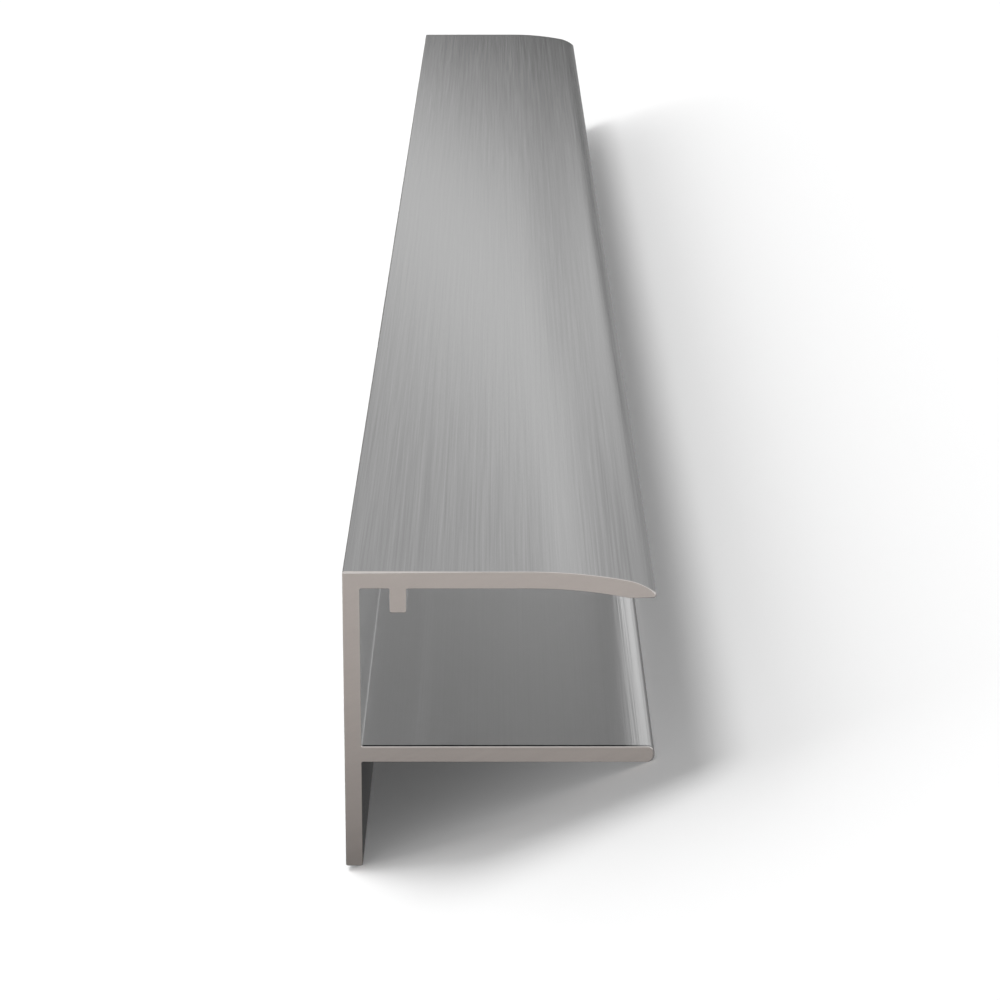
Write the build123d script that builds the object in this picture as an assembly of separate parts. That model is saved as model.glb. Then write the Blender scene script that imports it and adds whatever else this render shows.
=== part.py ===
from build123d import *
from math import asin, atan2, cos, degrees, sin
import os

# Closing profile for the edge of multiwall sheet: an aluminium F-section, extruded in one piece
# and sawn square to length. Lengths are in millimetres.
# The section is drawn upright: x runs from the web's outer face to the free edges of the
# flanges, and z runs up from the drip edge, the foot of the web.

# Sawn piece
length = 365.0  # from saw cut to saw cut

# Web and flanges
flange_reach = 30.0  # web's outer face to the free edges of both flanges
sheet_slot = 16.0  # clear height between the flanges, which takes the sheet
drip_leg = 10.8  # the web's reach below the lower flange
web_wall = 1.65
top_wall = 1.7
lower_wall = 1.6

# Stop rib under the top flange, which holds the sheet's edge off the web
stop_gap = 2.85  # web's inner face to the rib
stop_width = 1.6
stop_height = 2.4

# Curved lip: the top flange bends down and thins to a rounded nose, and its heel pinches the sheet
lip_length = 12.2  # start of the bend to the tip of the nose
lip_bend_radius = 50.0  # on the underside
lip_taper = 2.8  # last stretch of the outer side, where the lip thins
lip_heel = 2.75  # last stretch of the underside, which comes level to bear on the sheet
heel_radius = 2.0  # round between the bend and the level stretch of the heel
nose_radius = 0.3

# Edges
root_radius = 0.15  # inside corners
arris_radius = 0.2  # outside corners that the die leaves nearly sharp
saw_chamfer_share = 0.5  # deburred edge of the saw cuts, of the outside corners' radius
lower_edge_share = 0.43  # corner radius of the lower flange's free edge, of its wall

# Levels and places in the section
slot_floor = drip_leg + lower_wall
slot_ceiling = slot_floor + sheet_slot
top_face = slot_ceiling + top_wall
stop_left = web_wall + stop_gap
stop_right = stop_left + stop_width
stop_foot = slot_ceiling - stop_height
lip_root = flange_reach - lip_length
lower_edge_radius = lower_wall * lower_edge_share
saw_chamfer = arris_radius * saw_chamfer_share

# Centre of the lip's bend, and the section's own directions
bend_centre = Vector(lip_root, slot_ceiling - lip_bend_radius)
level = Vector(1, 0)
upright = Vector(0, 1)


def on_bend(radius, x):
    """Point of the lip's bend at x, with the directions along and away from its centre there."""
    angle = asin((x - lip_root) / radius)
    along = Vector(cos(angle), -sin(angle))
    outward = Vector(sin(angle), cos(angle))
    return bend_centre + outward * radius, along, outward


def onto_nose(nose, start, inward):
    """Point where an arc that leaves start square to inward runs smoothly into the nose's round."""
    way = nose - start
    radius = (way.dot(way) - nose_radius**2) / (2 * (way.dot(inward) - nose_radius))
    centre = start + inward * radius
    return centre + (nose - centre).normalized() * radius


def section():
    """Outline of the extrusion, with the curved lip, as a face in the upright XZ plane."""
    # Corners from the lip's root, round by the stop, the slot, the lower flange and the web
    corners = [
        (stop_right, slot_ceiling, root_radius),
        (stop_right, stop_foot, arris_radius),
        (stop_left, stop_foot, arris_radius),
        (stop_left, slot_ceiling, root_radius),
        (web_wall, slot_ceiling, root_radius),
        (web_wall, slot_floor, root_radius),
        (flange_reach, slot_floor, lower_edge_radius),
        (flange_reach, drip_leg, lower_edge_radius),
        (web_wall, drip_leg, root_radius),
        (web_wall, 0, arris_radius),
        (0, 0, arris_radius),
        (0, top_face, arris_radius),
    ]
    under_root = Vector(lip_root, slot_ceiling)
    outer_root = Vector(lip_root, top_face)

    # The lip, whose stretches meet without a corner: the heel comes level and carries the nose,
    # and the taper runs down into the nose from the bend's outer side
    heel, heel_along, heel_outward = on_bend(lip_bend_radius, flange_reach - lip_heel)
    heel_level = heel + (heel_outward - upright) * heel_radius
    nose = Vector(flange_reach - nose_radius, heel_level.Y + nose_radius)
    nose_foot = nose - upright * nose_radius
    nose_tip = nose + level * nose_radius
    taper, taper_along, taper_outward = on_bend(lip_bend_radius + top_wall, flange_reach - lip_taper)
    nose_top = onto_nose(nose, taper, -taper_outward)

    with BuildSketch(Plane.XZ) as outline:
        with BuildLine():
            FilletPolyline(
                under_root,
                *[(x, z) for x, z, _ in corners],
                outer_root,
                radius=[radius for _, _, radius in corners],
            )
            TangentArc(outer_root, taper, tangent=level)
            TangentArc(taper, nose_top, tangent=taper_along)
            ThreePointArc(nose_top, nose_tip, nose_foot)
            Line(nose_foot, heel_level)
            TangentArc(heel, heel_level, tangent=heel_along)
            TangentArc(under_root, heel, tangent=level)
        make_face()
    return outline.sketch


def sawn_length(face):
    """The section extruded to length, with the edges of both saw cuts deburred."""
    with BuildPart() as stock:
        extrude(face, amount=length / 2, both=True)
        saw_cuts = stock.faces().filter_by(Axis.Y)
        chamfer(saw_cuts.edges(), length=saw_chamfer)
    return stock.part


def laid_down(stock):
    """The piece as it lies unheld: tipped over onto the drip edge and the lower flange's free edge."""
    foot = Vector(web_wall - arris_radius, arris_radius)
    edge = Vector(flange_reach - lower_edge_radius, drip_leg + lower_edge_radius)
    span = edge - foot
    tilt = atan2(span.Y, span.X) - asin((lower_edge_radius - arris_radius) / span.length)
    tipped = stock.rotate(Axis.Y, degrees(tilt))
    box = tipped.bounding_box()
    middle = box.center()
    return tipped.translate((-middle.X, -middle.Y, -box.min.Z))


profile = laid_down(sawn_length(section()))
profile.label = "aluminium_profile"

os.makedirs("parts", exist_ok=True)
export_step(profile, "parts/aluminium_profile.step")
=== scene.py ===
"""Aluminium closing profile, an extruded F-section, dressed and lit on a pale studio floor."""

import logging
from dataclasses import dataclass
from enum import Enum
from math import asin, atan2, cos, pi, radians, sin, sqrt
from typing import NamedTuple

import bpy
from mathutils import Matrix, Vector


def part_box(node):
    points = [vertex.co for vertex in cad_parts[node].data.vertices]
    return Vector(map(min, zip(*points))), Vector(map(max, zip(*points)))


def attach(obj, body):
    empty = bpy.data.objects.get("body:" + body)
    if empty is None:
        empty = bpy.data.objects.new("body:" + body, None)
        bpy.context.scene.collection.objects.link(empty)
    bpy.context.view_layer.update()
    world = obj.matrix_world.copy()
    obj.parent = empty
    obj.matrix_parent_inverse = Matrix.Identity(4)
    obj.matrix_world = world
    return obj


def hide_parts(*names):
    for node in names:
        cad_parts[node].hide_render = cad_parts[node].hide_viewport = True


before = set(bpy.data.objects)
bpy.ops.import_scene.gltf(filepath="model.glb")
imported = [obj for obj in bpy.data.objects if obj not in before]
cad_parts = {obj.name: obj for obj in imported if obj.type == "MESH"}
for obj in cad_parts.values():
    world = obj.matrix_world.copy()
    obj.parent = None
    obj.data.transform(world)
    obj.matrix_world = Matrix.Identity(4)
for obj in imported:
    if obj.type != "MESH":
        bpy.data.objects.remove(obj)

LOG = logging.getLogger("closing_profile")

# Lengths in this file are in millimetres, and MM takes them to Blender's metres.
MM = 0.001

PROFILE_NODE = "aluminium_profile"

# Light goes to and fro between the flanges many times before it leaves the slot.
SLOT_BOUNCES = 14
SPARE_BOUNCES = 4

# Blender's noise lies mostly between these values.
NOISE_LOW = 0.25
NOISE_HIGH = 0.75

# Depth of the brush's, the die's and the saw's marks at a bump strength of 1.
MARK_DEPTH = 0.02

WHITE = (1.0, 1.0, 1.0, 1.0)

Colour = tuple[float, float, float]
Pair = tuple[float, float]
Triple = tuple[float, float, float]
Socket = bpy.types.NodeSocket


class Skin(Enum):
    """Finishes of the profile's faces, by their material slot on the mesh."""

    BRUSHED = 0
    DRAWN = 1
    SAWN = 2
    DEBURRED = 3
    # Dark line painted as shade along the slot floor's cut edges.
    PAINTED_SHADE_LINE = 4


class NodeBoard:
    """Adds and joins the nodes of one material or world."""

    def __init__(self, tree: bpy.types.NodeTree) -> None:
        """Start on an empty board.

        Args:
            tree: node tree of the material or world.
        """
        self.tree = tree
        tree.nodes.clear()

    def add(self, kind: str, inputs: dict | None = None, **settings: object) -> bpy.types.Node:
        """Add one node.

        Args:
            kind: Blender's name for the node type.
            inputs: socket name or number to the value that it is given, or the socket linked to it.
            settings: the node's own properties.

        Returns:
            The new node.
        """
        node = self.tree.nodes.new(kind)
        for name, value in settings.items():
            setattr(node, name, value)
        for name, value in (inputs or {}).items():
            if isinstance(value, Socket):
                self.tree.links.new(value, node.inputs[name])
            else:
                node.inputs[name].default_value = value
        return node

    def coords(self) -> Socket:
        """Place on the piece, in metres in its own frame."""
        return self.add("ShaderNodeTexCoord").outputs["Object"]

    def x_and_y(self, place: Socket) -> tuple[Socket, Socket]:
        """A place's first two coordinates."""
        parts = self.add("ShaderNodeSeparateXYZ", {0: place})
        return parts.outputs["X"], parts.outputs["Y"]

    def math(self, operation: str, *values: object) -> Socket:
        """Join numbers by a sum, a product or the like.

        Args:
            operation: Blender's name for it.
            values: numbers or sockets.

        Returns:
            The socket that holds the result.
        """
        return self.add("ShaderNodeMath", dict(enumerate(values)), operation=operation).outputs[0]

    def vector_math(self, operation: str, *values: object) -> Socket:
        """Join vectors by a sum, a difference or the like.

        Args:
            operation: Blender's name for it.
            values: vectors or sockets.

        Returns:
            The socket that holds the resulting vector.
        """
        return self.add("ShaderNodeVectorMath", dict(enumerate(values)), operation=operation).outputs[0]

    def distance(self, place: Socket, way: Triple) -> Socket:
        """How far a place lies along a direction.

        Args:
            place: the place.
            way: the direction.

        Returns:
            The socket that holds the distance from the origin.
        """
        dot = self.add("ShaderNodeVectorMath", {0: place, 1: way}, operation="DOT_PRODUCT")
        return dot.outputs["Value"]

    def seen_directly(self) -> Socket:
        """Whether the camera, a reflection or a view through something shows the surface.

        Returns:
            The socket that holds 1 there, and 0 where the surface only sheds light.
        """
        path = self.add("ShaderNodeLightPath")
        mirrored = self.math("MAXIMUM", path.outputs["Is Glossy Ray"], path.outputs["Is Transmission Ray"])
        return self.math("MAXIMUM", path.outputs["Is Camera Ray"], mirrored)

    def ramp(self, value: Socket, ends: Pair, results: Pair = (0.0, 1.0), smooth: bool = False) -> Socket:
        """Take a value from one range to another, and hold it level beyond both ends.

        Args:
            value: the value.
            ends: where the ramp starts and ends.
            results: what it gives there.
            smooth: whether the ends are eased.

        Returns:
            The socket that holds the result.
        """
        inputs = {
            "Value": value,
            "From Min": ends[0],
            "From Max": ends[1],
            "To Min": results[0],
            "To Max": results[1],
        }
        easing = "SMOOTHSTEP" if smooth else "LINEAR"
        return self.add("ShaderNodeMapRange", inputs, interpolation_type=easing).outputs["Result"]

    def span(self, noise: Socket, results: Pair) -> Socket:
        """Spread a noise over a range.

        Args:
            noise: the noise.
            results: what its low and its high end give.

        Returns:
            The socket that holds the result.
        """
        return self.ramp(noise, (NOISE_LOW, NOISE_HIGH), results)

    def specks(self, size: float, detail: float) -> Socket:
        """Noise of even specks.

        Args:
            size: width of a speck in millimetres.
            detail: layers of finer noise.

        Returns:
            The socket that holds the noise.
        """
        inputs = {"Vector": self.coords(), "Scale": 1 / (size * MM), "Detail": detail}
        return self.add("ShaderNodeTexNoise", inputs).outputs[0]

    def tone(self, value: Socket, dark: Colour, light: Colour) -> Socket:
        """Colour between a dark and a light tone.

        Args:
            value: share of the light tone.
            dark: colour at 0.
            light: colour at 1.

        Returns:
            The socket that holds the colour.
        """
        inputs = {0: value, 6: (*dark, 1.0), 7: (*light, 1.0)}
        return self.add("ShaderNodeMix", inputs, data_type="RGBA").outputs[2]

    def surface(self, inputs: dict[str, object]) -> Socket:
        """Add a surface shader with these inputs, and give its socket."""
        return self.add("ShaderNodeBsdfPrincipled", inputs).outputs[0]

    def mixed(self, share: object, first: Socket, second: Socket) -> Socket:
        """Mix two shaders.

        Args:
            share: share of the second one, a number or a socket.
            first: the first shader.
            second: the second shader.

        Returns:
            The mixed shader's socket.
        """
        return self.add("ShaderNodeMixShader", {0: share, 1: first, 2: second}).outputs[0]


def metres(lengths: Pair) -> Pair:
    """Two lengths in millimetres, in metres."""
    return lengths[0] * MM, lengths[1] * MM


def new_material(name: str) -> tuple[bpy.types.Material, NodeBoard]:
    """Start a material.

    Args:
        name: the material's name.

    Returns:
        The material and its empty board.
    """
    material = bpy.data.materials.new(name)
    material.use_nodes = True
    return material, NodeBoard(material.node_tree)


def flat_sheet(name: str, width: float, height: float, material: bpy.types.Material) -> bpy.types.Object:
    """Add a flat rectangle with its middle at the origin.

    Args:
        name: the object's name.
        width: size along x, in millimetres.
        height: size along y, in millimetres.
        material: what it is made of.

    Returns:
        The object.
    """
    x, y = width / 2 * MM, height / 2 * MM
    mesh = bpy.data.meshes.new(name)
    mesh.from_pydata([(-x, -y, 0), (x, -y, 0), (x, y, 0), (-x, y, 0)], [], [(0, 1, 2, 3)])
    mesh.materials.append(material)
    sheet = bpy.data.objects.new(name, mesh)
    bpy.context.scene.collection.objects.link(sheet)
    return sheet


def shaded(colour: Colour, share: float) -> Colour:
    """A colour made darker or lighter by a share of itself.

    Args:
        colour: the colour.
        share: factor on each channel.

    Returns:
        The changed colour.
    """
    return tuple(min(1.0, channel * share) for channel in colour)


@dataclass(frozen=True)
class LineNoise:
    """Noise drawn out into lines or marks, with their sizes along the axes in millimetres."""

    sizes: Triple
    detail: float
    raggedness: float
    shift: float = 0.0
    turn: float = 0.0

    def add_to(self, board: NodeBoard) -> Socket:
        """Add the noise to a material.

        Args:
            board: the material's board.

        Returns:
            The socket that holds the noise.
        """
        mapping = {
            "Vector": board.coords(),
            "Location": (self.shift, self.shift, self.shift),
            "Rotation": (0.0, radians(self.turn), 0.0),
            "Scale": tuple(1 / (size * MM) for size in self.sizes),
        }
        placed = board.add("ShaderNodeMapping", mapping).outputs[0]
        noise = {"Vector": placed, "Scale": 1.0, "Detail": self.detail, "Roughness": self.raggedness}
        return board.add("ShaderNodeTexNoise", noise).outputs[0]


@dataclass(frozen=True)
class Finish:
    """Finish of the aluminium, whose tone varies with a noise: shades are at its low and high ends."""

    name: str
    colour: Colour
    shades: Pair

    def shader(self, board: NodeBoard) -> Socket:
        """Make the finish's shader.

        Args:
            board: the board of its material.

        Returns:
            The shader's socket.
        """
        raise NotImplementedError

    def tone(self, board: NodeBoard, noise: Socket) -> Socket:
        """Colour that varies with a noise.

        Args:
            board: the board of the finish's material.
            noise: the noise.

        Returns:
            The socket that holds the colour.
        """
        dark, light = (shaded(self.colour, shade) for shade in self.shades)
        return board.tone(board.span(noise, (0.0, 1.0)), dark, light)

    def material(self) -> bpy.types.Material:
        """Make the material.

        Returns:
            The finish's material.
        """
        material, board = new_material(self.name)
        board.add("ShaderNodeOutputMaterial", {"Surface": self.shader(board)})
        return material


@dataclass(frozen=True)
class MarkedFinish(Finish):
    """Bare metal with marks: roughness is at their noise's low and high ends, and bump is their strength."""

    roughness: Pair
    bump: float

    def metal(self, board: NodeBoard, marks: Socket) -> dict[str, object]:
        """What the marks make of the metal.

        Args:
            board: the board of the finish's material.
            marks: the marks' noise.

        Returns:
            Inputs for a surface shader.
        """
        relief = {"Strength": self.bump, "Distance": MARK_DEPTH * MM, "Height": marks}
        return {
            "Base Color": self.tone(board, marks),
            "Metallic": 1.0,
            "Roughness": board.span(marks, self.roughness),
            "Normal": board.add("ShaderNodeBump", relief).outputs[0],
        }


@dataclass(frozen=True)
class BrushedFinish(MarkedFinish):
    """Outer faces: brushed along the length, with fine lines of uneven strength."""

    name: str = "aluminium_brushed"
    colour: Colour = (0.47, 0.47, 0.47)
    shades: Pair = (0.85, 1.15)
    roughness: Pair = (0.15, 0.21)
    bump: float = 0.03
    lines: LineNoise = LineNoise(sizes=(0.3, 60.0, 0.3), detail=2.0, raggedness=0.95, shift=3.0)

    def shader(self, board: NodeBoard) -> Socket:
        """Make the brushed metal.

        Args:
            board: the board of its material.

        Returns:
            The shader's socket.
        """
        return board.surface(self.metal(board, self.lines.add_to(board)))


@dataclass(frozen=True)
class DrawnFinish(MarkedFinish):
    """Faces inside the slot and under the lower flange: smooth from the die, with a colour partly raised as
    painted light against the slot's shade, and painted shade towards the mouth.
    """

    name: str = "aluminium_drawn"
    # Lighter than the brushed faces: partly the die-smooth finish, partly painted light that lifts the
    # slot's shade.
    colour: Colour = (0.909, 0.909, 0.909)
    shades: Pair = (0.988, 1.012)
    roughness: Pair = (0.125, 0.185)
    bump: float = 0.55
    lines: LineNoise = LineNoise(sizes=(0.5, 100.0, 0.5), detail=2.0, raggedness=0.95, shift=7.0)
    haze_roughness: float = 0.28
    haze_share: float = 0.26
    # The colour darkens over this zone towards the slot's mouth: painted shade that dims the bright
    # reflection there.
    mouth_way: Triple = (0.933, 0.0, -0.36)
    mouth_painted_shade_zone: Pair = (7.2, 10.2)
    mouth_painted_shade: float = 0.84

    def shader(self, board: NodeBoard) -> Socket:
        """Make the die-smooth metal, with painted shade towards the mouth and a haze over it.

        Args:
            board: the board of its material.

        Returns:
            The shader's socket.
        """
        metal = self.metal(board, self.lines.add_to(board))
        # Painted shade: the colour is scaled down towards the slot's mouth.
        outward = board.distance(board.coords(), self.mouth_way)
        shade = board.ramp(outward, metres(self.mouth_painted_shade_zone), (1.0, self.mouth_painted_shade))
        painted_shade_inputs = {0: metal["Base Color"], "Scale": shade}
        metal["Base Color"] = board.add("ShaderNodeVectorMath", painted_shade_inputs, operation="SCALE").outputs[0]
        haze = metal | {"Roughness": self.haze_roughness}
        return board.mixed(self.haze_share, board.surface(metal), board.surface(haze))


@dataclass(frozen=True)
class SawnFinish(MarkedFinish):
    """Saw cuts: dull and slightly warm, with the blade's fine marks."""

    name: str = "aluminium_sawn"
    colour: Colour = (0.56, 0.51, 0.48)
    shades: Pair = (0.95, 1.05)
    roughness: Pair = (0.5, 0.6)
    bump: float = 0.15
    marks: LineNoise = LineNoise(sizes=(6.0, 6.0, 0.35), detail=3.0, raggedness=0.6, turn=-12.0)
    marks_share: float = 0.6
    grain_size: float = 0.25
    grain_detail: float = 2.0
    grain_share: float = 0.4

    def shader(self, board: NodeBoard) -> Socket:
        """Make the sawn metal.

        Args:
            board: the board of its material.

        Returns:
            The shader's socket.
        """
        marks = board.math("MULTIPLY", self.marks.add_to(board), self.marks_share)
        grain = board.math("MULTIPLY", board.specks(self.grain_size, self.grain_detail), self.grain_share)
        return board.surface(self.metal(board, board.math("ADD", marks, grain)))


@dataclass(frozen=True)
class DeburredFinish(Finish):
    """Edges of the saw cuts: rubbed round and a little brighter than the cut."""

    name: str = "aluminium_deburred"
    colour: Colour = (0.58, 0.55, 0.53)
    shades: Pair = (0.94, 1.04)
    roughness: Pair = (0.27, 0.23)
    nick_size: float = 0.6
    nick_detail: float = 3.0

    def shader(self, board: NodeBoard) -> Socket:
        """Make the rubbed metal.

        Args:
            board: the board of its material.

        Returns:
            The shader's socket.
        """
        nicks = board.specks(self.nick_size, self.nick_detail)
        rough = board.span(nicks, self.roughness)
        return board.surface({"Base Color": self.tone(board, nicks), "Metallic": 1.0, "Roughness": rough})


@dataclass(frozen=True)
class ShadeLineFinish(Finish):
    """Hairline along the slot's floor at the saw cuts: a dark line painted as shade there, fading to bare
    metal towards the mouth.
    """

    name: str = "aluminium_shade_line"
    # Near-black colour of the painted shade line, varied by fine specks.
    colour: Colour = (0.02, 0.02, 0.02)
    shades: Pair = (0.7, 1.3)
    roughness: float = 0.6
    gloss: float = 0.1
    line_speck_size: float = 0.8
    line_speck_detail: float = 3.0
    bare_colour: Colour = (0.9, 0.9, 0.9)
    bare_roughness: float = 0.2
    bare_zone: Pair = (10.2, 16.0)

    def shader(self, board: NodeBoard) -> Socket:
        """Make the dark painted-shade line and the bare metal that it turns into.

        Args:
            board: the board of its material.

        Returns:
            The shader's socket.
        """
        tone = self.tone(board, board.specks(self.line_speck_size, self.line_speck_detail))
        painted_dark = {"Base Color": tone, "Roughness": self.roughness, "Specular IOR Level": self.gloss}
        bare = {"Base Color": (*self.bare_colour, 1.0), "Metallic": 1.0, "Roughness": self.bare_roughness}
        across = board.x_and_y(board.coords())[0]
        share = board.ramp(across, metres(self.bare_zone))
        return board.mixed(share, board.surface(painted_dark), board.surface(bare))


class OutlinePoint(NamedTuple):
    """Point of the section with its outward normal, and the finish of the stretch that follows it."""

    x: float
    z: float
    nx: float
    nz: float
    skin: Skin


class Ring(NamedTuple):
    """Station along the length.

    Its points move along and in by shares of the saw-cut edge's radius, and their normals lean
    towards the far cut.
    """

    place: float
    along: float
    inset: float
    lean: float


@dataclass(frozen=True)
class FSection:
    """Upright section: x from the web's outer face, z up from the drip edge, in millimetres."""

    flange_reach: float = 30.0
    sheet_slot: float = 16.0
    drip_leg: float = 10.8
    web_wall: float = 1.65
    top_wall: float = 1.7
    lower_wall: float = 1.6
    stop_gap: float = 2.85
    stop_width: float = 1.6
    stop_height: float = 2.4
    lip_length: float = 12.2
    lip_bend_radius: float = 50.0
    lip_taper: float = 2.8
    lip_heel: float = 2.75
    heel_radius: float = 2.0
    nose_radius: float = 0.3
    root_radius: float = 0.15
    arris_radius: float = 0.2
    lower_edge_share: float = 0.43
    corner_steps: int = 8
    lip_steps: int = 20
    top_steps: int = 4

    @property
    def slot_floor(self) -> float:
        """Level of the lower flange's upper face."""
        return self.drip_leg + self.lower_wall

    @property
    def slot_ceiling(self) -> float:
        """Level of the top flange's underside."""
        return self.slot_floor + self.sheet_slot

    @property
    def top_face(self) -> float:
        """Level of the top flange's outer face."""
        return self.slot_ceiling + self.top_wall

    @property
    def lip_root(self) -> float:
        """Where the top flange starts to bend."""
        return self.flange_reach - self.lip_length

    @property
    def lower_edge_radius(self) -> float:
        """Corner radius of the lower flange's free edge."""
        return self.lower_wall * self.lower_edge_share

    @property
    def bend(self) -> Vector:
        """Centre of the lip's bend."""
        return Vector((self.lip_root, self.slot_ceiling - self.lip_bend_radius))

    @property
    def heel_turn(self) -> float:
        """Angle of the bend where the heel starts."""
        return asin((self.lip_length - self.lip_heel) / self.lip_bend_radius)

    @property
    def heel_centre(self) -> Vector:
        """Centre of the round that brings the heel level."""
        out = Vector((sin(self.heel_turn), cos(self.heel_turn)))
        return self.bend + out * (self.lip_bend_radius + self.heel_radius)

    @property
    def nose(self) -> Vector:
        """Middle of the lip's rounded nose, which the level heel carries."""
        heel_level = self.heel_centre.y - self.heel_radius
        return Vector((self.flange_reach - self.nose_radius, heel_level + self.nose_radius))

    def corners(self) -> list[tuple[float, float, float, Skin]]:
        """Corners from the lip's root round by the stop, the slot, the lower flange and the web.

        Returns:
            x, z, corner radius, and the finish from that corner on.
        """
        left = self.web_wall + self.stop_gap
        right = left + self.stop_width
        foot = self.slot_ceiling - self.stop_height
        root, arris, edge = self.root_radius, self.arris_radius, self.lower_edge_radius
        return [
            (right, self.slot_ceiling, root, Skin.DRAWN),
            (right, foot, arris, Skin.DRAWN),
            (left, foot, arris, Skin.DRAWN),
            (left, self.slot_ceiling, root, Skin.DRAWN),
            (self.web_wall, self.slot_ceiling, root, Skin.DRAWN),
            (self.web_wall, self.slot_floor, root, Skin.DRAWN),
            (self.flange_reach, self.slot_floor, edge, Skin.DRAWN),
            (self.flange_reach, self.drip_leg, edge, Skin.DRAWN),
            (self.web_wall, self.drip_leg, root, Skin.BRUSHED),
            (self.web_wall, 0.0, arris, Skin.BRUSHED),
            (0.0, 0.0, arris, Skin.BRUSHED),
            (0.0, self.top_face, arris, Skin.BRUSHED),
        ]

    def rounded_corner(
        self, before: Vector, corner: Vector, after: Vector, radius: float, skin: Skin
    ) -> list[OutlinePoint]:
        """Round one square corner of the outline.

        Args:
            before: corner that the outline comes from.
            corner: corner to round.
            after: corner that it goes to.
            radius: radius of the round.
            skin: finish from here on.

        Returns:
            Points of the round, in order.
        """
        arrive = (corner - before).normalized()
        leave = (after - corner).normalized()
        centre = corner - arrive * radius + leave * radius
        points = []
        for step in range(self.corner_steps + 1):
            turn = pi / 2 * step / self.corner_steps
            place = centre - leave * radius * cos(turn) + arrive * radius * sin(turn)
            along = arrive * cos(turn) + leave * sin(turn)
            points.append(OutlinePoint(place.x, place.y, -along.y, along.x, skin))
        return points

    def arc(
        self,
        centre: Vector,
        radius: float,
        turns: Pair,
        steps: int,
        skin: Skin,
        hollow: bool = False,
    ) -> list[OutlinePoint]:
        """Points on an arc, by the angle from straight up towards the lip.

        Args:
            centre: the arc's centre.
            radius: its radius.
            turns: first and last angle, in radians.
            steps: number of stretches.
            skin: finish of the arc.
            hollow: whether the metal lies outside the arc.

        Returns:
            The points, first and last included.
        """
        start, end = turns
        side = -1.0 if hollow else 1.0
        points = []
        for step in range(steps + 1):
            turn = start + (end - start) * step / steps
            out = Vector((sin(turn), cos(turn)))
            place = centre + out * radius
            points.append(OutlinePoint(place.x, place.y, side * out.x, side * out.y, skin))
        return points

    def round_into_nose(self, start: Vector, inward: Vector) -> tuple[Vector, float]:
        """Arc that leaves a point square to a direction and runs smoothly into the nose.

        Args:
            start: where the arc leaves.
            inward: direction from there to its centre.

        Returns:
            The arc's centre and radius.
        """
        way = self.nose - start
        radius = (way.dot(way) - self.nose_radius**2) / (2 * (way.dot(inward) - self.nose_radius))
        return start + inward * radius, radius

    def lip(self) -> list[OutlinePoint]:
        """The curved lip, from the bend's start on the outside round the nose to its start underneath.

        Returns:
            Points of the lip, in order.
        """
        outer_radius = self.lip_bend_radius + self.top_wall
        taper_turn = asin((self.lip_length - self.lip_taper) / outer_radius)
        taper_out = Vector((sin(taper_turn), cos(taper_turn)))
        taper, taper_radius = self.round_into_nose(self.bend + taper_out * outer_radius, -taper_out)
        to_nose = (self.nose - taper).normalized()
        top_turn = atan2(to_nose.x, to_nose.y)
        heel_turn = self.heel_turn
        steps, half = self.lip_steps, self.lip_steps // 2
        return (
            self.arc(self.bend, outer_radius, (0.0, taper_turn), steps, Skin.BRUSHED)[:-1]
            + self.arc(taper, taper_radius, (taper_turn, top_turn), half, Skin.BRUSHED)[:-1]
            + self.arc(self.nose, self.nose_radius, (top_turn, pi / 2), half, Skin.BRUSHED)[:-1]
            + self.arc(self.nose, self.nose_radius, (pi / 2, pi), half, Skin.DRAWN)
            + self.arc(self.heel_centre, self.heel_radius, (pi, pi + heel_turn), half, Skin.DRAWN)[:-1]
            + self.arc(self.bend, self.lip_bend_radius, (heel_turn, 0.0), steps, Skin.DRAWN, hollow=True)
        )

    def outline(self) -> list[OutlinePoint]:
        """The whole closed outline, with the metal on its right.

        Returns:
            Points in order, each with its outward normal and finish.
        """
        corners = self.corners()
        places = (
            [Vector((self.lip_root, self.slot_ceiling))]
            + [Vector((x, z)) for x, z, _, _ in corners]
            + [Vector((self.lip_root, self.top_face))]
        )
        points: list[OutlinePoint] = []
        for index, (_, _, radius, skin) in enumerate(corners):
            points += self.rounded_corner(*places[index : index + 3], radius, skin)
        for step in range(1, self.top_steps):
            x = self.lip_root * step / self.top_steps
            points.append(OutlinePoint(x, self.top_face, 0.0, 1.0, Skin.BRUSHED))
        return points + self.lip()


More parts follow.
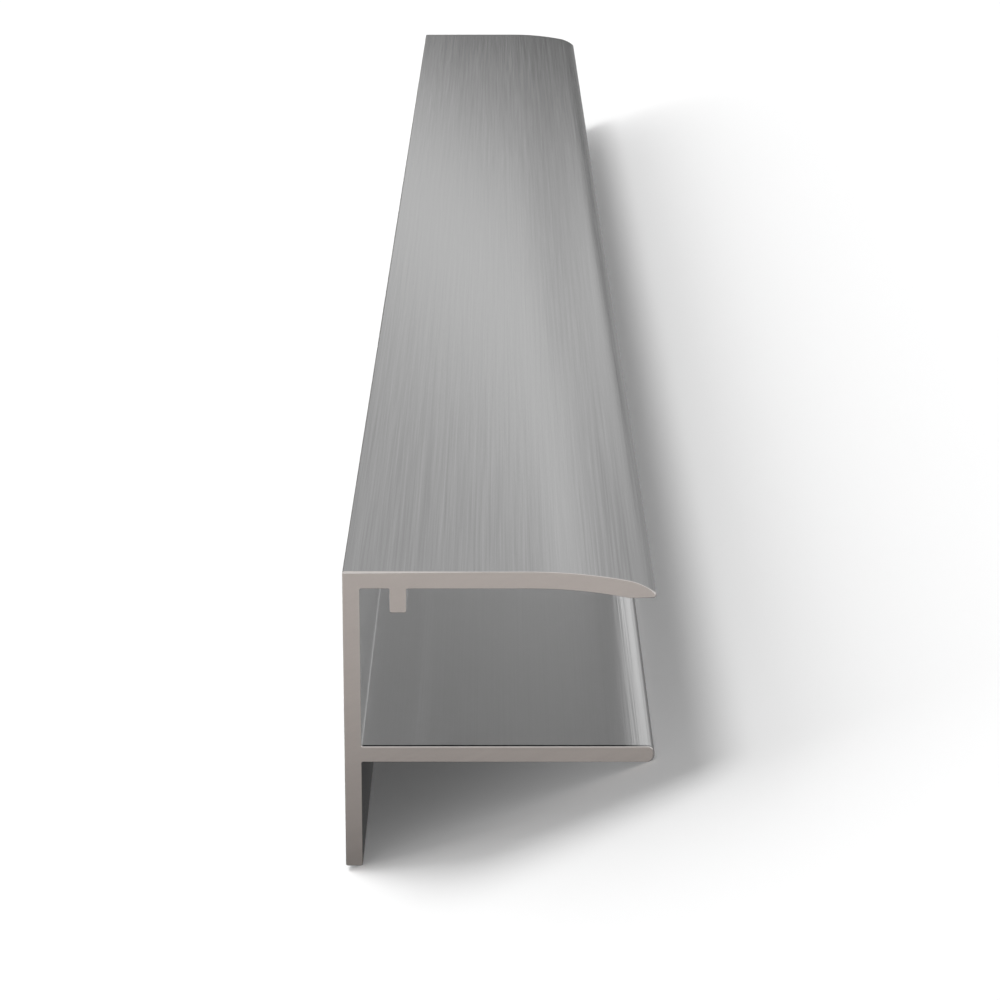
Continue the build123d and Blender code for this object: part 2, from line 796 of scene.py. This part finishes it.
@dataclass(frozen=True)
class RestPose:
    """The profile as it lies: tipped onto the drip edge and the lower flange's free edge."""

    section: FSection
    length: float

    @property
    def edge(self) -> Vector:
        """Middle of the lower flange's round that rests on the floor, in the upright section."""
        s = self.section
        return Vector((s.flange_reach - s.lower_edge_radius, s.drip_leg + s.lower_edge_radius))

    @property
    def tilt(self) -> float:
        """Angle by which the upright section is tipped towards the slot's mouth.

        Returns:
            The angle, in radians.
        """
        s = self.section
        span = self.edge - Vector((s.web_wall - s.arris_radius, s.arris_radius))
        return atan2(span.y, span.x) - asin((s.lower_edge_radius - s.arris_radius) / span.length)

    def turned(self, way: Vector) -> Vector:
        """A direction of the upright profile, in the row frame."""
        c, s = cos(self.tilt), sin(self.tilt)
        return Vector((way.x * c + way.z * s, way.y, -way.x * s + way.z * c))

    def placed(self, point: Vector) -> Vector:
        """A point of the upright profile in millimetres, y from the near cut, in the row frame in metres.

        Args:
            point: the upright point.

        Returns:
            The point in the row frame.
        """
        c, s = cos(self.tilt), sin(self.tilt)
        part = self.section
        arris = part.arris_radius
        left = arris * c + arris * s - arris
        right = part.nose.x * c + part.nose.y * s + part.nose_radius
        low = -(part.web_wall - arris) * s + arris * c - arris
        shift = Vector((-(left + right) / 2, -self.length / 2, -low))
        return (self.turned(point) + shift) * MM

    def standing(self, place: Triple, pitch: float = 0.0) -> Matrix:
        """A view square to the upright section, or tipped down from there.

        Args:
            place: its middle, as an upright point in millimetres.
            pitch: angle by which it is tipped down, in degrees.

        Returns:
            Its place in the row frame, with x to the right and y up.
        """
        down = radians(pitch)
        right = self.turned(Vector((1.0, 0.0, 0.0)))
        up = self.turned(Vector((0.0, sin(down), cos(down))))
        axes = Matrix((right, up, right.cross(up))).transposed().to_4x4()
        return Matrix.Translation(self.placed(Vector(place))) @ axes


@dataclass
class ClosingProfile:
    """The extruded profile, as one mesh with rounded saw-cut edges."""

    section: FSection
    pose: RestPose
    name: str = "profile_skin"
    saw_edge_radius: float = 0.04
    floor_edge_radius: float = 0.1
    web_edge_radius: float = 0.2
    lip_edge_radius: float = 0.06
    rubbed_reach: float = 13.0
    free_edge_radius: float = 0.18
    saw_edge_steps: int = 6
    # Rings and facing that take the painted shade line along the slot floor's cut edges.
    shade_line_steps: int = 2
    shade_line_reach: float = 0.42
    shade_line_facing: float = 0.9
    length_steps: int = 16
    finishes: tuple[Finish, ...] = (
        BrushedFinish(),
        DrawnFinish(),
        SawnFinish(),
        DeburredFinish(),
        ShadeLineFinish(),
    )

    def rings(self) -> list[Ring]:
        """Stations along the length, from the near cut to the far one.

        Returns:
            The stations.
        """
        length = self.pose.length
        near, far = [], []
        for step in range(self.saw_edge_steps + 1):
            turn = pi / 2 * step / self.saw_edge_steps
            near.insert(0, Ring(0.0, 1 - sin(turn), 1 - cos(turn), -sin(turn)))
            far.append(Ring(length, sin(turn) - 1, 1 - cos(turn), sin(turn)))
        places = [length * step / self.length_steps for step in range(1, self.length_steps)]
        places = [self.shade_line_reach, *places, length - self.shade_line_reach]
        return near + [Ring(place, 0.0, 0.0, 0.0) for place in places] + far

    def edge_radius(self, point: OutlinePoint) -> float:
        """Radius of the saw-cut edge at a point.

        Args:
            point: point of the outline.

        Returns:
            The radius, which is larger where the edge faces up, most of all at the web's corner, and
            round the flanges' free edges.
        """
        rubbed = self.floor_edge_radius
        if point.skin is Skin.BRUSHED:
            worn = max(0.0, 1 - point.x / self.rubbed_reach)
            rubbed = self.lip_edge_radius + (self.web_edge_radius - self.lip_edge_radius) * worn
        up = max(0.0, point.nz) * (rubbed - self.saw_edge_radius)
        reach, edge = self.section.flange_reach, self.section.lower_edge_radius
        out = max(0.0, (point.x - reach) / edge + 1) * (self.free_edge_radius - self.saw_edge_radius)
        return self.saw_edge_radius + max(up, out)

    def skin(self, point: OutlinePoint, from_cut: int) -> Skin:
        """Finish of one face.

        Args:
            point: the outline's point that the face starts from.
            from_cut: number of rings between the face and the nearer saw cut.

        Returns:
            The finish.
        """
        # Faces at the saw cuts on the slot's floor take the painted shade line.
        shade_lined = self.saw_edge_steps - self.shade_line_steps <= from_cut <= self.saw_edge_steps
        if shade_lined and point.skin is Skin.DRAWN and point.nz > self.shade_line_facing:
            return Skin.PAINTED_SHADE_LINE
        return Skin.DEBURRED if from_cut < self.saw_edge_steps else point.skin

    def points(self, outline: list[OutlinePoint], rings: list[Ring]) -> tuple[list[Vector], list[Vector]]:
        """Points of the mesh, ring by ring.

        Args:
            outline: the section's outline.
            rings: the stations along the length.

        Returns:
            The points and their normals, in the row frame.
        """
        places, normals = [], []
        for ring in rings:
            level = sqrt(1 - ring.lean * ring.lean)
            for point in outline:
                radius = self.edge_radius(point)
                x = point.x - point.nx * radius * ring.inset
                z = point.z - point.nz * radius * ring.inset
                places.append(self.pose.placed(Vector((x, ring.place + radius * ring.along, z))))
                normals.append(self.pose.turned(Vector((point.nx * level, ring.lean, point.nz * level))))
        return places, normals

    def faces(self, outline: list[OutlinePoint], stations: int) -> tuple[list[tuple[int, ...]], list[Skin]]:
        """Faces of the mesh: the sides ring by ring, then the near and the far cut.

        Args:
            outline: the section's outline.
            stations: number of rings.

        Returns:
            The faces as point numbers, and their finishes.
        """
        count = len(outline)
        faces: list[tuple[int, ...]] = []
        skins = []
        for station in range(stations - 1):
            from_cut = min(station, stations - 2 - station)
            a, b = station * count, (station + 1) * count
            for index in range(count):
                after = (index + 1) % count
                faces.append((a + index, a + after, b + after, b + index))
                skins.append(self.skin(outline[index], from_cut))
        last = (stations - 1) * count
        faces += [tuple(reversed(range(count))), tuple(range(last, last + count))]
        skins += [Skin.SAWN, Skin.SAWN]
        return faces, skins

    def build(self) -> bpy.types.Object:
        """Make the mesh with its finishes' slots and exact normals.

        Returns:
            The object, in the row frame.
        """
        outline = self.section.outline()
        rings = self.rings()
        places, normals = self.points(outline, rings)
        faces, skins = self.faces(outline, len(rings))
        mesh = bpy.data.meshes.new(self.name)
        mesh.from_pydata(places, [], faces)
        mesh.polygons.foreach_set("material_index", [skin.value for skin in skins])
        mesh.polygons.foreach_set("use_smooth", [True] * len(faces))
        mesh.normals_split_custom_set_from_vertices(normals)
        mesh.update()
        piece = bpy.data.objects.new(self.name, mesh)
        bpy.context.scene.collection.objects.link(piece)
        return piece

    def dress(self, piece: bpy.types.Object) -> None:
        """Put the finishes on the mesh and tie it to the frame.

        Args:
            piece: the built object.
        """
        for finish in self.finishes:
            piece.data.materials.append(finish.material())
        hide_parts(PROFILE_NODE)
        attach(piece, "root")


@dataclass(frozen=True)
class StudioSky:
    """Even light from all round: white to the camera and in reflections, softer on the floor."""

    name: str = "studio_sky"
    fill: float = 0.4

    def build(self) -> None:
        """Make the world."""
        world = bpy.data.worlds.new(self.name)
        world.use_nodes = True
        bpy.context.scene.world = world
        board = NodeBoard(world.node_tree)
        fill = board.add("ShaderNodeBackground", {"Color": WHITE, "Strength": self.fill}).outputs[0]
        white = board.add("ShaderNodeBackground", {"Color": WHITE, "Strength": 1.0}).outputs[0]
        board.add("ShaderNodeOutputWorld", {"Surface": board.mixed(board.seen_directly(), fill, white)})


@dataclass(frozen=True)
class StudioFloor:
    """Plain pale floor under the profile."""

    name: str = "studio_floor"
    size: float = 16000.0
    colour: Colour = (0.95, 0.95, 0.95)
    own_white: float = 0.07

    def build(self) -> None:
        """Make the floor."""
        material, board = new_material("pale_floor")
        matt = board.add("ShaderNodeBsdfDiffuse", {"Color": (*self.colour, 1.0)}).outputs[0]
        white = board.add("ShaderNodeEmission", {"Color": WHITE, "Strength": 1.0}).outputs[0]
        share = board.math("MULTIPLY", board.seen_directly(), self.own_white)
        board.add("ShaderNodeOutputMaterial", {"Surface": board.mixed(share, matt, white)})
        floor = flat_sheet(self.name, self.size, self.size, material)


@dataclass(frozen=True)
class StageCard:
    """Card that shows only in the profile's reflections, with its local x across and y up."""

    name: str
    width: float
    height: float

    def glow(self, board: NodeBoard, coords: Socket) -> Socket:
        """Brightness over the card.

        Args:
            board: the board of the card's material.
            coords: place on the card, in metres from its middle.

        Returns:
            The socket that holds the brightness.
        """
        raise NotImplementedError

    def build(self, place: Matrix) -> None:
        """Make the card, which shows only in reflections.

        Args:
            place: where the card stands, in the row frame.
        """
        material, board = new_material(self.name)
        light = board.add("ShaderNodeEmission", {"Strength": self.glow(board, board.coords())})
        board.add("ShaderNodeOutputMaterial", {"Surface": light.outputs[0]})
        card = flat_sheet(self.name, self.width, self.height, material)
        card.matrix_world = place
        card.visible_camera = False
        card.visible_diffuse = False
        card.visible_shadow = False


@dataclass(frozen=True)
class BackCard(StageCard):
    """Grey card behind the profile, dark at its foot, with a slanting soft bright band."""

    name: str = "back_card"
    width: float = 900.0
    height: float = 750.0
    middle: Triple = (0.0, 900.0, 225.0)
    foot_tone: float = 0.09
    tone: float = 0.547
    foot_level: float = 130.0
    foot_blur: float = 40.0
    band_place: Pair = (7.0, 200.0)
    band_slant: float = 53.5
    band_blur: float = 55.0
    band_tone: float = 0.35
    side_start: Pair = (45.0, 140.0)
    side_lean: float = 0.4
    side_fall: Pair = (184.0, 330.0)
    side_gain: Pair = (0.7, -0.15)

    def glow(self, board: NodeBoard, coords: Socket) -> Socket:
        """Brightness over the card.

        Args:
            board: the board of the card's material.
            coords: place on the card, in metres from its middle.

        Returns:
            The socket that holds the brightness.
        """
        side, height = board.x_and_y(coords)
        level = self.foot_level - self.middle[2]
        foot = metres((level - self.foot_blur, level + self.foot_blur))
        ground = board.ramp(height, foot, (self.foot_tone, self.tone), smooth=True)
        slant = radians(self.band_slant)
        start = Vector((self.band_place[0] - self.middle[0], self.band_place[1] - self.middle[2], 0.0)) * MM
        from_start = board.vector_math("SUBTRACT", coords, start)
        off_band = board.math("ABSOLUTE", board.distance(from_start, (-sin(slant), cos(slant), 0.0)))
        band = board.ramp(off_band, metres((0.0, self.band_blur)), (self.band_tone, 0.0), smooth=True)
        aside = board.ramp(side, metres(self.side_start), smooth=True)
        rise = board.math("ADD", height, board.math("MULTIPLY", side, self.side_lean))
        low, high = self.side_fall
        gain = board.ramp(rise, metres((low - self.middle[2], high - self.middle[2])), self.side_gain)
        factor = board.math("ADD", board.math("MULTIPLY", aside, gain), 1.0)
        return board.math("MULTIPLY", board.math("ADD", ground, band), factor)

    def stand(self, pose: RestPose) -> None:
        """Stand the card square to the upright section.

        Args:
            pose: how the upright section lies in the row frame.
        """
        self.build(pose.standing(self.middle))


@dataclass(frozen=True)
class FloorMat(StageCard):
    """Dark mat under and round the profile, fading out away from it."""

    name: str = "floor_mat"
    width: float = 300.0
    height: float = 640.0
    lift: float = 0.02
    covered: Pair = (38.0, 365.0)
    fade: Pair = (-12.0, 110.0)
    slant: float = 1.24
    far_tone: float = 0.8

    def glow(self, board: NodeBoard, coords: Socket) -> Socket:
        """Brightness over the mat.

        Args:
            board: the board of the mat's material.
            coords: place on the mat, in metres from its middle.

        Returns:
            The socket that holds the brightness.
        """
        half = Vector((self.covered[0] / 2, self.covered[1] / 2, 0.0)) * MM
        clear = board.vector_math("SUBTRACT", board.vector_math("ABSOLUTE", coords), half)
        beside, before = board.x_and_y(clear)
        across = board.math("ADD", board.x_and_y(coords)[0], half.x)
        slanted = board.math("ADD", before, board.math("MULTIPLY", across, self.slant))
        away = board.math("MAXIMUM", beside, slanted)
        return board.ramp(away, metres(self.fade), (0.0, self.far_tone))

    def lay(self) -> None:
        """Lay the mat on the floor."""
        self.build(Matrix.Translation(Vector((0.0, 0.0, self.lift)) * MM))


@dataclass(frozen=True)
class SideMat(StageCard):
    """Grey mat on the floor beside the slot's mouth, darker along the edge that the profile rests on."""

    name: str = "side_mat"
    width: float = 440.0
    height: float = 900.0
    lift: float = 0.04
    edge_tone: float = 0.14
    tone: float = 0.38
    fade: float = 12.0

    def glow(self, board: NodeBoard, coords: Socket) -> Socket:
        """Brightness over the mat.

        Args:
            board: the board of the mat's material.
            coords: place on the mat, in metres from its middle.

        Returns:
            The socket that holds the brightness.
        """
        across = board.x_and_y(coords)[0]
        edge = -self.width / 2
        return board.ramp(across, metres((edge, edge + self.fade)), (self.edge_tone, self.tone))

    def lay(self, pose: RestPose) -> None:
        """Lay the mat from the resting edge of the lower flange, level with the near cut.

        Args:
            pose: how the upright section lies in the row frame.
        """
        edge = pose.placed(Vector((pose.edge.x, 0.0, pose.edge.y)))
        middle = Vector((edge.x + self.width / 2 * MM, edge.y + self.height / 2 * MM, self.lift * MM))
        self.build(Matrix.Translation(middle))


@dataclass(frozen=True)
class StudioLamp:
    """Large soft lamp that lights the floor and throws the profile's shadow there."""

    name: str
    way: Triple
    strength: float
    spread: float

    def build(self) -> None:
        """Make the lamp."""
        lamp = bpy.data.lights.new(self.name, "SUN")
        lamp.energy = self.strength
        lamp.angle = radians(self.spread)
        holder = bpy.data.objects.new(self.name, lamp)
        holder.rotation_euler = Vector(self.way).to_track_quat("Z", "Y").to_euler()
        holder.visible_glossy = False
        bpy.context.scene.collection.objects.link(holder)


@dataclass(frozen=True)
class KeyLamp(StudioLamp):
    """Lamp above and behind the profile."""

    name: str = "key_lamp"
    way: Triple = (-0.05, 0.5, 1.0)
    strength: float = 1.45
    spread: float = 22.0


@dataclass(frozen=True)
class SideLamp(StudioLamp):
    """Broad lamp low on the web's side, for the wide soft shadow beside the slot."""

    name: str = "side_lamp"
    way: Triple = (-1.0, 1.0, 0.45)
    strength: float = 2.9
    spread: float = 70.0


@dataclass(frozen=True)
class ViewCamera:
    """Camera before and above the near end, level with the upright section."""

    name: str = "view_camera"
    place: Triple = (15.05, -293.7043, 122.3211)
    pitch: float = 16.1603
    lens: float = 116.4239
    sensor: float = 36.0
    nearest: float = 10.0

    def build(self, pose: RestPose) -> None:
        """Make the camera and choose it for the picture.

        Args:
            pose: how the upright section lies in the row frame.
        """
        data = bpy.data.cameras.new(self.name)
        data.sensor_width = self.sensor
        data.lens = self.lens
        data.clip_start = self.nearest * MM
        holder = bpy.data.objects.new(self.name, data)
        holder.matrix_world = pose.standing(self.place, self.pitch)
        bpy.context.scene.collection.objects.link(holder)
        bpy.context.scene.camera = holder


def main() -> None:
    """Build the profile, the studio and the camera, and log the profile's faces and tilt."""
    logging.basicConfig(level=logging.INFO, format="%(name)s: %(message)s")
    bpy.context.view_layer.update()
    low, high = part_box(PROFILE_NODE)
    section = FSection()
    pose = RestPose(section, (high[1] - low[1]) / MM)

    profile = ClosingProfile(section, pose)
    piece = profile.build()
    profile.dress(piece)
    LOG.info("%s: %d faces, tipped %.2f rad", piece.name, len(piece.data.polygons), pose.tilt)

    scene = bpy.context.scene
    scene.view_settings.view_transform = "Standard"
    scene.cycles.glossy_bounces = SLOT_BOUNCES
    scene.cycles.max_bounces = SLOT_BOUNCES + SPARE_BOUNCES
    StudioSky().build()
    StudioFloor().build()
    KeyLamp().build()
    SideLamp().build()
    BackCard().stand(pose)
    FloorMat().lay()
    SideMat().lay(pose)
    ViewCamera().build(pose)
    LOG.info("studio: sky, floor, lamps, cards and camera")


if __name__ == "__main__":
    main()
